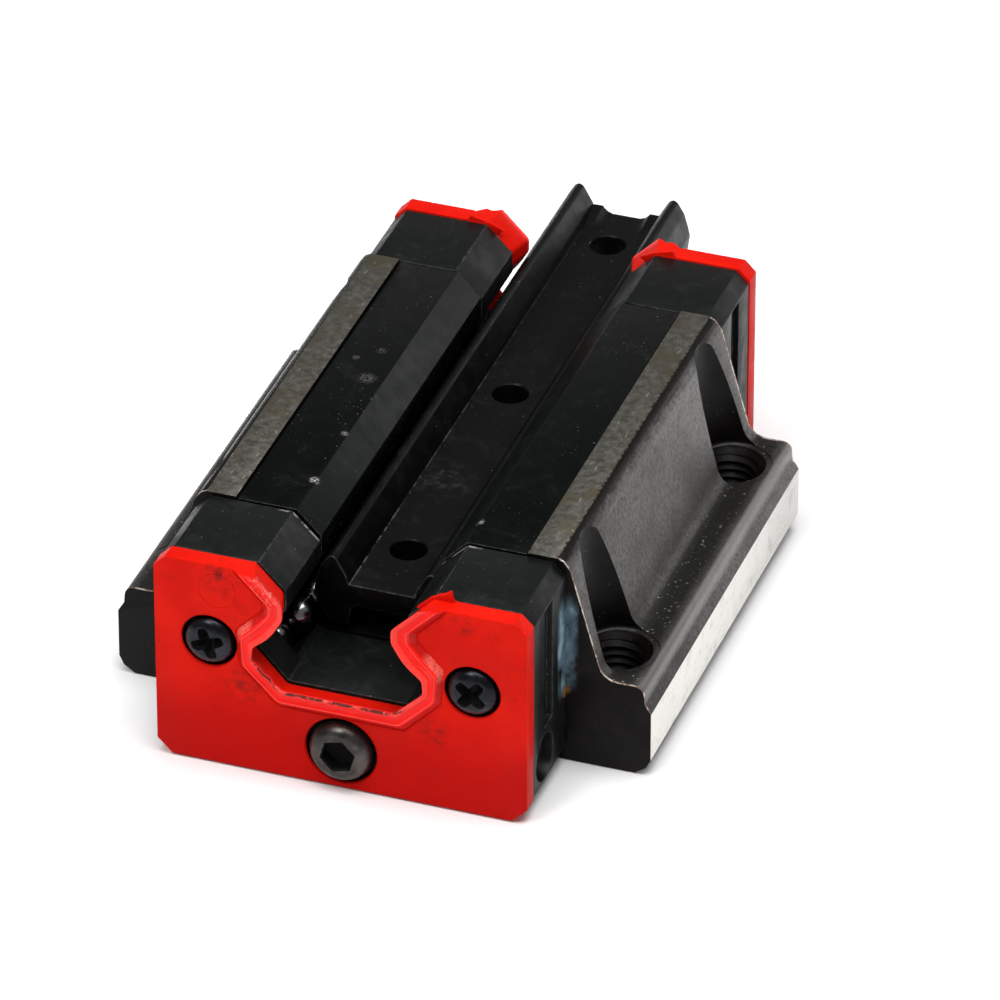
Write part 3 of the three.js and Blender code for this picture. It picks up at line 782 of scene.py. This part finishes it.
def block():
    piece = prism_object("block_body", block_outline(), -BLOCK_END, BLOCK_END)
    clad(piece, DRAWN, MACHINED, GROUND, STRIP, WORN)
    cut(piece, *[pocket_cutter(x, y) for x, y in BOLTS])
    for face in piece.data.polygons:
        face.material_index = block_face_slot(face.normal, face.center)
    soften(piece, 0.15, 2, 40, slot=4)
    holes = [thread_cutter(x, y, FLANGE_TOP - POCKET_DEPTH) for x, y in BOLTS]
    for side in SIDES.values():
        for _, back in TRACKS.values():
            place = along_y(side * back.x, back.y)
            holes.append(bar_cutter(RETURN_HOLE, place, -BLOCK_END - 1, BLOCK_END + 1))
        for end in ENDS.values():
            low, high = sorted((end * (BLOCK_END - 6), end * (BLOCK_END + 1)))
            place = along_y(side * SEAL_SCREW["x"], SEAL_SCREW["z"])
            holes.append(bar_cutter(SCREW_HOLE, place, low, high, 24))
    cut(piece, *[clad(hole, MACHINED) for hole in holes])
    shade(piece)
    finish_piece(piece, "carriage", ["block"])


# ------------------------------------------------------------------ end caps

def cap_notch():
    """Right half of the cap's opening round the rail, from its mouth down."""
    wall, slope_foot = SLOT_WALL["x"], 17.1
    return [
        (wall + CAP_HIGH.z - slope_foot, CAP_HIGH.z),
        (wall, slope_foot),
        (wall, SLOT_WALL["end"], 0.2),
        (6.55, 13.95, 1.5),
        (8.0, 12.6, 0.5),
        (8.0, 11.5, 0.5),
        (5.2, 8.35, 0.4),
    ]


def end_plate_outline(half, low, high, chamfer, notch):
    outside = [
        (half - chamfer, low, 0.3),
        (half, low + chamfer, 0.3),
        (half, high - chamfer, 0.3),
        (half - chamfer, high, 0.3),
    ]
    return rounded(mirrored(outside + notch))


def track_pocket(row, back, side):
    """The slot in the cap's inner face where the balls turn round."""
    start, stop = Vector((side * row.x, row.y)), Vector((side * back.x, back.y))
    heading = math.degrees(math.atan2(stop.y - start.y, stop.x - start.x))
    depth = (stop - start).length / 2 + TURN_POCKET
    outline = arc(stop, TURN_POCKET, heading - 90, heading + 90, 12)
    outline += arc(start, TURN_POCKET, heading + 90, heading + 270, 12)
    return prism_object("track", outline, -CAP_LOW.y - depth, -CAP_LOW.y + 1)


def side_cutters(side):
    """The upright recess and the blind grease port in the cap's side."""
    recess_y, recess_depth, bottom, top = -CAP_LOW.y - 4.4, 0.55, 6.7, 18.05
    port_y, port_z, port_radius, port_depth = recess_y - 0.9, 3.75, 2.1, 1.1
    outside = side * (CAP_HIGH.x + 1)
    low, high = sorted((outside, side * (CAP_HIGH.x - recess_depth)))
    corners = [(low, bottom), (high, bottom), (high, top), (low, top)]
    recess = prism_object("recess", corners, recess_y - 1, recess_y + 1)
    place = Matrix.Translation((0, port_y, port_z)) @ Matrix.Rotation(math.pi / 2, 4, "Y")
    reach = sorted((side * (CAP_HIGH.x - port_depth), outside))
    return [recess, bar_cutter(port_radius, place, *reach)]


def end_cap(end_name):
    outline = end_plate_outline(CAP_HIGH.x, CAP_LOW.z, CAP_HIGH.z, 1.15, cap_notch())
    piece = prism_object(f"end_cap_{end_name}_body", outline, -CAP_HIGH.y, -CAP_LOW.y)
    for side in SIDES.values():
        cut(piece, *side_cutters(side))
    clad(piece, CAP_BLACK, EDGE)
    soften(piece, 0.10, 2, 35, slot=1)
    for side in SIDES.values():
        cut(piece, *[track_pocket(row, back, side) for row, back in TRACKS.values()])
        place = along_y(side * SEAL_SCREW["x"], SEAL_SCREW["z"])
        cut(piece, bar_cutter(SCREW_HOLE, place, -CAP_HIGH.y - 1, -CAP_LOW.y + 1, 24))
    cut(piece, bar_cutter(1.5, along_y(0, PLUG_SCREW["z"]), -CAP_HIGH.y - 1, -CAP_LOW.y - 1.6, 24))
    shade(piece)
    if end_name == "rear":
        turn_round(piece)
    finish_piece(piece, "carriage", [f"end_cap_{end_name}"])


# ------------------------------------------------------------------ end seals

def even_corners(points, corner_steps, run_steps):
    """An open path with round corners, sampled so that paths with the same number of points match."""
    path = [Vector(points[0][:2])]
    for i in range(1, len(points) - 1):
        corner = Vector(points[i][:2])
        before = Vector(points[i - 1][:2]) - corner
        after = Vector(points[i + 1][:2]) - corner
        reach = min(points[i][2], 0.45 * before.length, 0.45 * after.length)
        start = corner + before.normalized() * reach
        stop = corner + after.normalized() * reach
        run_start = path[-1]
        path += [run_start.lerp(start, k / run_steps) for k in range(1, run_steps)]
        for k in range(corner_steps + 1):
            t = k / corner_steps
            path.append(start.lerp(corner, t).lerp(corner.lerp(stop, t), t))
    run_start, last = path[-1], Vector(points[-1][:2])
    path += [run_start.lerp(last, k / run_steps) for k in range(1, run_steps + 1)]
    return path


# The lip, right half, from the top edge down to the middle of the opening's floor. Each line gives
# the band's foot, the rubbing edge and the back edge, and how round the corner is there.
LIP_STATIONS = [
    ((9.30, SEAL_TOP), (7.10, SEAL_TOP), (7.85, SEAL_TOP), 0.0),
    ((6.65, 16.8), (4.70, 17.1), (5.45, 17.0), 0.30),
    ((6.65, 16.0), (4.70, 15.9), (5.45, 15.6), 0.30),
    ((7.85, 14.8), (5.80, 14.0), (6.55, 13.6), 1.0),
    ((9.00, 13.6), (7.35, 12.7), (8.05, 12.45), 0.30),
    ((8.75, 10.3), (7.45, 11.4), (8.05, 11.2), 0.35),
    ((5.50, 7.0), (4.85, 8.95), (5.20, 8.10), 0.35),
    ((0.0, 7.0), (0.0, 8.95), (0.0, 8.10), 0.0),
]

# The lip's cross-section: share of the way from the foot to the rubbing edge (past 1, from there to
# the back edge), and height above the seal's face. From a fine groove at the foot a slope climbs to
# a ridge, and a shallow valley lies between that and the rubbing edge.
LIP_SECTION = [
    (-0.08, 0.00), (-0.04, -0.10), (0.00, -0.09), (0.04, 0.02), (0.08, 0.10), (0.17, 0.27), (0.26, 0.44),
    (0.32, 0.55), (0.35, 0.595), (0.385, 0.60), (0.43, 0.545), (0.50, 0.48), (0.60, 0.47), (0.70, 0.53),
    (0.80, 0.64), (0.89, 0.79),
    (0.94, 0.845), (0.98, 0.845), (1.01, 0.78), (1.06, 0.60), (1.25, 0.10), (1.60, -0.75), (2.00, -1.70),
]

# The shares between which the lip has its rubbed material, which also carries painted light and shade.
RUBBED_SPAN = (0.03, 1.30)


def lip_lines():
    """The lip's lengthwise lines, from the band's outer edge over the rubbing edge to the back."""
    paths = []
    for column in range(3):
        points = [(*station[column], station[3]) for station in LIP_STATIONS]
        paths.append(even_corners(points, 6, 5))
    lines = []
    for share, height in LIP_SECTION:
        line = []
        for outer, crest, back in zip(*paths):
            flat = outer.lerp(crest, share) if share <= 1 else crest.lerp(back, share - 1)
            line.append(Vector((flat.x, -SEAL_FACE - height, flat.y)))
        mirror = [Vector((-p.x, p.y, p.z)) for p in reversed(line[:-1])]
        if 0.7 < share < 1.3:
            mirror = [wavy(p) for p in mirror]
        lines.append(line + mirror)
    return lines


def wavy(point):
    """A point of the rubbing edge's worn stretch, low on the left, moved a little up or down."""
    middle, reach, top, swing, waves = -6.2, 1.5, 11.4, 0.17, 7
    from_middle = abs(point.x - middle) / reach
    if from_middle > 1 or point.z > top:
        return point
    fade = (1 + math.cos(math.pi * from_middle)) / 2
    return point + Vector((0, 0, swing * fade * math.sin(waves * point.x)))


def end_seal_mesh(name):
    """The seal plate and its lip as one closed skin."""
    half, low, top = SEAL_HIGH.x, SEAL_LOW.z - 0.1, SEAL_TOP
    low_chamfer, top_chamfer = 1.3, 1.0
    bm = bmesh.new()
    lines = [[bm.verts.new(p) for p in line] for line in lip_lines()]
    side = [
        (half - top_chamfer, top),
        (half, top - top_chamfer),
        (half, low + low_chamfer),
        (half - low_chamfer, low),
    ]
    corners = side + [(-x, z) for x, z in reversed(side)]
    front = [bm.verts.new((x, -SEAL_FACE, z)) for x, z in corners]
    back = [bm.verts.new((x, -SEAL_BACK, z)) for x, z in corners]
    for near, far, (share, _) in zip(lines, lines[1:], LIP_SECTION[1:]):
        for i in range(len(near) - 1):
            face = bm.faces.new((near[i], near[i + 1], far[i + 1], far[i]))
            face.material_index = 1 if RUBBED_SPAN[0] < share < RUBBED_SPAN[1] else 0
    bm.faces.new(front + list(reversed(lines[0])))
    bm.faces.new(list(reversed(back)) + lines[-1])
    for i in range(len(corners) - 1):
        bm.faces.new((front[i], front[i + 1], back[i + 1], back[i]))
    bm.faces.new([back[0]] + [line[0] for line in reversed(lines)] + [front[0]])
    bm.faces.new([front[-1]] + [line[-1] for line in lines] + [back[-1]])
    return to_object(name, bm, 40)


def rim_cutter(screw, x):
    """The round seat of a screw head in the seal's face, with a soft mouth."""
    rim, soft = screw["rim"], 0.2
    turns = [math.radians(angle) for angle in (0, 30, 60, 90)]
    mouth = [(rim + soft * (1 - math.sin(a)), -SEAL_FACE + soft * (1 - math.cos(a))) for a in turns]
    profile = [(0, -SEAL_FACE - 3), (rim + soft, -SEAL_FACE - 3), *mouth, (rim, SEAT), (0, SEAT)]
    cutter = turned_object("rim", profile, 64, along_y(x, screw["z"]))
    clad(cutter, RED, RECESS)
    for face in cutter.data.polygons:
        face.material_index = 1 if face.center.y > (SEAT - 0.5) * MM else 0
    return cutter


def mould_mark(x, z, radius=1.65, depth=0.04):
    """The faint round mark of an ejector pin, as a shallow ring cut."""
    low, high = -SEAL_FACE - 1, -SEAL_FACE + depth
    profile = [(radius - 0.07, low), (radius, low), (radius - 0.02, high), (radius - 0.05, high)]
    return ring_object("mark", profile, 48, along_y(x, z))


def spur(side, height):
    """A thin ragged moulding flap on the seal's top edge at its back: a slow rise, then a sheer drop."""
    inner, outer, top, thickness = 6.2, 9.55, SEAL_TOP, 0.36
    rise = [(0, -1.1), (0.38, 0.1), (0.46, 0.2), (0.60, 0.52), (0.72, 0.62), (0.86, 0.95), (0.90, 1)]
    drop = [(0.93, 0.4), (1, -0.05)]
    crest = [(inner + (outer - inner) * share, top + height * up) for share, up in rise + drop]
    foot = [(outer, top - 0.9), (inner + 1.6, top - 1.9)]
    flap = prism_object("spur", mirrored_for(side, crest + foot), -SEAL_BACK - thickness, -SEAL_BACK - 0.02)
    return soften(clad(flap, RED), 0.04, 2, 50)


def end_seal(end_name):
    """One seal with its lip, screw seats and spurs. The rear one is made as a front one, then turned."""
    piece = end_seal_mesh(f"end_seal_{end_name}_body")
    soften(clad(piece, RED, RUBBED_AND_LIT, RECESS), 0.16, 3, 50)
    join(piece, *[spur(SIDES[name], height) for name, height in SPURS[end_name].items()])
    for screw, x in ((SEAL_SCREW, -SEAL_SCREW["x"]), (SEAL_SCREW, SEAL_SCREW["x"]), (PLUG_SCREW, 0.0)):
        cut(piece, rim_cutter(screw, x))
        cut(piece, bar_cutter(1.3, along_y(x, screw["z"]), -SEAL_FACE - 1, -SEAL_BACK + 1, 24))
    cut(piece, mould_mark(-10.65, 17.1))
    shade(piece, 40)
    if end_name == "rear":
        turn_round(piece)
    finish_piece(piece, "carriage", [f"end_seal_{end_name}"])


# ------------------------------------------------------------------ screws

def screw_profile(screw, dome, flat):
    """Half section of a screw from its tip to its head's middle, seated at height 0.

    The head is a cylinder up to `dome` below its top, then rounds over to a flat of radius `flat`.
    """
    radius, height, shank, length = screw["head"], screw["height"], screw["shank"], screw["length"]
    round_over = []
    for i in range(9):
        angle = math.radians(90 * i / 8)
        reach = flat + (radius - flat) * math.cos(angle)
        round_over.append((reach, height - dome + dome * math.sin(angle)))
    return [(0, height - length), (shank * 0.6, height - length), (shank, height - length + 0.5), (shank, 0),
            (radius - 0.1, 0), (radius, 0.1), *round_over, (flat * 0.5, height + 0.02), (0, height + 0.03)]


def cross_cutter(height, turn):
    """A cross recess with tapering arms, narrowing as it goes down."""
    arm = [(0.50, -0.50), (1.16, -0.44), (1.44, -0.28), (1.44, 0.28), (1.16, 0.44)]
    outline = []
    for quarter in range(4):
        spin = Matrix.Rotation(math.radians(turn + 90 * quarter), 2)
        outline += [spin @ Vector(point) for point in arm]
    sections = ((-0.5, 1.15), (0.1, 1.0), (0.6, 0.72), (1.1, 0.34))
    bm = bmesh.new()
    loft(bm, [[(x * share, y * share, height - depth) for x, y in outline] for depth, share in sections])
    return to_object("cross", bm)


def socket_cutter(height, radius, turn):
    """A hexagon socket with a countersunk mouth."""
    mouth = radius + 0.4
    drive = [(0, height - 1.45), (radius, height - 1.15), (radius, height - 0.15)]
    profile = drive + [(mouth, height + 0.25), (mouth, height + 1), (0, height + 1)]
    return turned_object("socket", profile, 6, Matrix.Rotation(math.radians(turn), 4, "Z"))


def screw(node, sizes, x, end, dome, flat, cutter, edge, surface):
    """Turns a screw, cuts its drive recess, and stands it in its seat at one end."""
    piece = turned_object(f"{node}_body", screw_profile(sizes, dome, flat), 64, Matrix.Identity(4))
    cut(clad(piece, surface, RECESS), clad(cutter, RECESS))
    soften(piece, edge, 2, 38)
    stand = Matrix.Translation((x * MM, end * (SEAL_BACK + 0.7) * MM, sizes["z"] * MM))
    piece.data.transform(stand @ Matrix.Rotation(-end * math.pi / 2, 4, "X"))
    finish_piece(piece, "carriage", [node])


def seal_screw(end_name, side_name, turn):
    x = SIDES[side_name] * SEAL_SCREW["x"]
    cutter = cross_cutter(SEAL_SCREW["height"], turn)
    screw(f"seal_screw_{end_name}_{side_name}", SEAL_SCREW, x, ENDS[end_name], 0.8, 0.9, cutter, 0.05, SCREW)


def plug_screw(end_name):
    cutter = socket_cutter(PLUG_SCREW["height"], 1.45, 14)
    screw(f"plug_screw_{end_name}", PLUG_SCREW, 0.0, ENDS[end_name], 1.1, 1.75, cutter, 0.04, PLUG_STEEL)


# ------------------------------------------------------------------ channel pieces

def bottom_seal(side_name):
    inner, top, bed = 7.45, STRIP_HIGH.z, STRIP_SEAT + 0.15
    wall, wall_end, underside = SLOT_WALL["x"], SLOT_WALL["end"], 16.95
    section = [
        (STRIP_HIGH.x, bed),
        (STRIP_HIGH.x, top, 0.12),
        (inner, top, 0.18),
        (wall, top - (inner - wall), 0.15),
        (wall, wall_end, 0.12),
        (wall + 0.32, wall_end, 0.1),
        (wall + 0.32, underside),
        (inner + 0.15, underside),
        (inner + 0.15, bed),
    ]
    outline = rounded(mirrored_for(SIDES[side_name], section))
    piece = prism_object(f"bottom_seal_{side_name}_body", outline, STRIP_LOW.y, STRIP_HIGH.y)
    clad(piece, STRIP_BLACK, EDGE, STRIP_SLOPE_LIT)
    # Slopes take the lighter copy of the plastic: painted light.
    for face in piece.data.polygons:
        face.material_index = 2 if 0.3 < face.normal.z < 0.9 else 0
    soften(piece, 0.07, 2, 50, slot=1)
    finish_piece(piece, "carriage", [f"bottom_seal_{side_name}"])


def retainer(name, section):
    low, high = box_mm(name)
    piece = prism_object(f"{name}_body", rounded(section), low.y, high.y)
    soften(clad(piece, INNER_BLACK), 0.06, 2, 40)
    finish_piece(piece, "carriage", [name])


def retainers():
    low, high = box_mm("ball_retainer_upper")
    retainer("ball_retainer_upper", mirrored([(5, low.z), (high.x, low.z + 0.35, 0.1), (5.45, high.z, 0.1)]))
    for side_name, side in SIDES.items():
        section = [(8.6, 11.35), (8.6, 13), (7.85, 12.85, 0.15), (7.85, 11.5, 0.15)]
        retainer(f"ball_retainer_{side_name}", mirrored_for(side, section))


def return_tube(side_name, row_name):
    node = f"return_tube_{side_name}_{row_name}"
    low, high = box_mm(node)
    back = TRACKS[row_name][1]
    wall = [(TUBE_BORE, low.y), (TUBE_OUTSIDE, low.y), (TUBE_OUTSIDE, high.y), (TUBE_BORE, high.y)]
    piece = ring_object(f"{node}_body", wall, 40, along_y(SIDES[side_name] * back.x, back.y))
    clad(piece, INNER_BLACK)
    finish_piece(piece, "carriage", [node])


def return_guide(end_name, side_name, row_name):
    """The half-round guide inside the turn of one ball track."""
    node = f"return_guide_{end_name}_{side_name}_{row_name}"
    row, back = TRACKS[row_name]
    side, end = SIDES[side_name], ENDS[end_name]
    span = back - row
    radius = span.length / 2 - BALL_RADIUS - 0.3
    thickness = 3.2
    flat = CAP_LOW.y + 0.05
    heading = math.atan2(span.y, side * span.x)
    outline = arc((0, 0), radius, 180, 360, 16) if end < 0 else arc((0, 0), radius, 0, 180, 16)
    bm = bmesh.new()
    loft(bm, [[(x, y, z) for x, y in outline] for z in (-thickness / 2, thickness / 2)])
    middle = (row + back) / 2
    place = Matrix.Translation((side * middle.x, end * flat, middle.y)) @ Matrix.Rotation(-heading, 4, "Y")
    bmesh.ops.transform(bm, matrix=place, verts=bm.verts)
    piece = clad(to_object(f"{node}_body", bm), INNER_BLACK)
    soften(piece, 0.05, 2, 40)
    finish_piece(piece, "carriage", [node])


# ------------------------------------------------------------------ balls

def circuit_point(row, back, distance):
    """Centre of a ball, `distance` millimetres round its track from the raceway's front end."""
    span = back - row
    radius = span.length / 2
    run, turn = 2 * BLOCK_END, math.pi * radius
    middle, across = (row + back) / 2, span.normalized()
    if distance <= run:
        y, offset = -BLOCK_END + distance, -radius
    elif distance <= run + turn:
        angle = (distance - run) / radius
        y, offset = BLOCK_END + radius * math.sin(angle), -radius * math.cos(angle)
    elif distance <= 2 * run + turn:
        y, offset = BLOCK_END - (distance - run - turn), radius
    else:
        angle = (distance - 2 * run - turn) / radius
        y, offset = -BLOCK_END - radius * math.sin(angle), radius * math.cos(angle)
    flat = middle + across * offset
    return Vector((flat.x, y, flat.y))


def ball_circuit(side_name, row_name):
    node = f"ball_circuit_{side_name}_{row_name}"
    row, back = TRACKS[row_name]
    total = 4 * BLOCK_END + math.tau * (back - row).length / 2
    bm = bmesh.new()
    for i in range(BALLS):
        centre = circuit_point(row, back, total * i / BALLS)
        centre.x *= SIDES[side_name]
        place = Matrix.Translation(centre)
        bmesh.ops.create_icosphere(bm, subdivisions=3, radius=BALL_RADIUS, matrix=place)
    piece = clad(to_object(f"{node}_balls", bm, 180), BALL)
    finish_piece(piece, "carriage", [node])


# ------------------------------------------------------------------ shipping rail

def rear_step(side):
    """The small ramp that rises in the corner between floor and wall at the rail's rear end."""
    x, z = RAIL_FLOOR
    length, rise, rows = 4.2, 0.62, 10
    rings = []
    for row in range(rows + 1):
        growth = (1 - math.cos(math.pi * row / rows)) / 2
        top = z + rise * growth
        section = [(x + 0.3, z - 0.3), (x + 0.3, top), (x - 0.75, top), (x - 0.85, z + 0.7 * (top - z)),
                   (x - 1.2, z + 0.2 * (top - z)), (x - 1.6, z - 0.01), (x - 1.6, z - 0.3)]
        y = RAIL_HIGH.y - 0.02 - length * (1 - row / rows)
        rings.append([(side * across, y, up) for across, up in section])
    bm = bmesh.new()
    loft(bm, rings)
    return to_object("step", bm)


def dummy_rail():
    x, floor = RAIL_FLOOR
    half = [
        (2.3, 11.2, 0.3),
        (2.7, 10.9, 0.3),
        (3.0, 9.2, 0.2),
        (4.4, 9.2, 0.3),
        (5.7, 10.9, 0.8),
        (5.9, 12.4, 1.0),
        (5.7, 13.3, 1.5),
        (5.35, 14.5, 1.2),
        (4.75, 15.5, 0.5),
        (4.35, 15.75, 0.4),
        (3.95, 15.5, 0.5),
        (x + 0.2, floor + 0.8, 0.5),
        (x, floor, 0.12),
    ]
    piece = prism_object("dummy_rail_body", rounded(mirrored(half)), RAIL_LOW.y, RAIL_HIGH.y)
    clad(piece, RAIL_BLACK, EDGE, RAIL_SHADED)
    # End faces take the darker copy of the plastic: painted shade.
    for face in piece.data.polygons:
        face.material_index = 2 if abs(face.normal.y) > 0.9 else 0
    soften(piece, 0.09, 2, 45, slot=1)
    join(piece, *[rear_step(side) for side in SIDES.values()])
    radius, first, pitch = 1.55, 6.6, 25.6
    low, high = RAIL_LOW.z - 1, RAIL_HIGH.z + 1
    mouth = [(radius, floor - 0.12), (radius + 0.12, floor + 0.02), (radius + 0.2, high)]
    profile = [(0, low), (radius, low), *mouth, (0, high)]
    for i in range(3):
        hole = turned_object("hole", profile, 48, along_z(0, RAIL_LOW.y + first + i * pitch))
        # Hole walls take the darker copy, as painted shade. Only the chamfer at the floor keeps the rail
        # plastic.
        clad(hole, RAIL_SHADED, RAIL_BLACK)
        for face in hole.data.polygons:
            face.material_index = 1 if abs(face.center.z / MM - floor + 0.05) < 0.06 else 0
        cut(piece, hole)
    shade(piece)
    finish_piece(piece, "rail", ["dummy_rail"])


# ------------------------------------------------------------------ stage

def plain_material(name, tone, roughness):
    s = Surface(name, Metallic=0)
    s.color(tone)
    s.roughness(roughness)
    return s.material


def stage():
    bm = bmesh.new()
    bmesh.ops.create_grid(bm, x_segments=1, y_segments=1, size=3)
    mesh = bpy.data.meshes.new("floor")
    bm.to_mesh(mesh)
    bm.free()
    floor = in_scene("floor", mesh)
    floor.location.z = CAD_BOX[0][2] - 0.1 * MM
    mesh.materials.append(plain_material("pale_floor", (0.93, 0.93, 0.93), 0.5))


def look(thing, azimuth, elevation, distance, aim):
    """Stands a lamp or a camera at a distance from the point it looks at, by two angles in degrees."""
    a, e = math.radians(azimuth), math.radians(elevation)
    back = Vector((math.sin(a) * math.cos(e), -math.cos(a) * math.cos(e), math.sin(e)))
    thing.location = aim + back * distance
    thing.rotation_euler = back.to_track_quat("Z", "Y").to_euler()


def softbox(name, azimuth, elevation, size, watts):
    """A square white lamp, aimed at the object's middle."""
    light = bpy.data.lights.new(name, "AREA")
    light.energy = watts
    light.size = size
    look(in_scene(name, light), azimuth, elevation, 0.7, Vector((0, 0, 0.01)))


def lighting():
    world = bpy.data.worlds.new("studio")
    world.use_nodes = True
    backdrop = world.node_tree.nodes["Background"]
    backdrop.inputs["Color"].default_value = (1, 1, 1, 1)
    backdrop.inputs["Strength"].default_value = 0.27
    bpy.context.scene.world = world
    softbox("overhead_softbox", 60, 80, 0.5, 5.2)
    softbox("back_softbox", 145, 20, 0.35, 0.6)
    softbox("front_softbox", -27, 52, 0.25, 1.8)
    bpy.context.scene.view_settings.view_transform = "Standard"


def camera():
    """The photograph's viewing angle, aimed near the carriage's middle."""
    lens = bpy.data.cameras.new("camera")
    lens.lens = 339.2
    lens.sensor_width = 36
    lens.clip_start = 0.05
    eye = in_scene("camera", lens)
    look(eye, 19.37, 33.1, 0.8, Vector((0.0015, 0.00534, 0.00697)))
    bpy.context.scene.camera = eye


# ------------------------------------------------------------------ the object

block()
for end_name in ENDS:
    end_cap(end_name)
    end_seal(end_name)
    plug_screw(end_name)
for number, (end_name, side_name) in enumerate((e, s) for e in ENDS for s in SIDES):
    seal_screw(end_name, side_name, 20 + 31 * number)
for side_name in SIDES:
    bottom_seal(side_name)
    for row_name in TRACKS:
        return_tube(side_name, row_name)
        ball_circuit(side_name, row_name)
        for end_name in ENDS:
            return_guide(end_name, side_name, row_name)
retainers()
dummy_rail()

stage()
lighting()
camera()
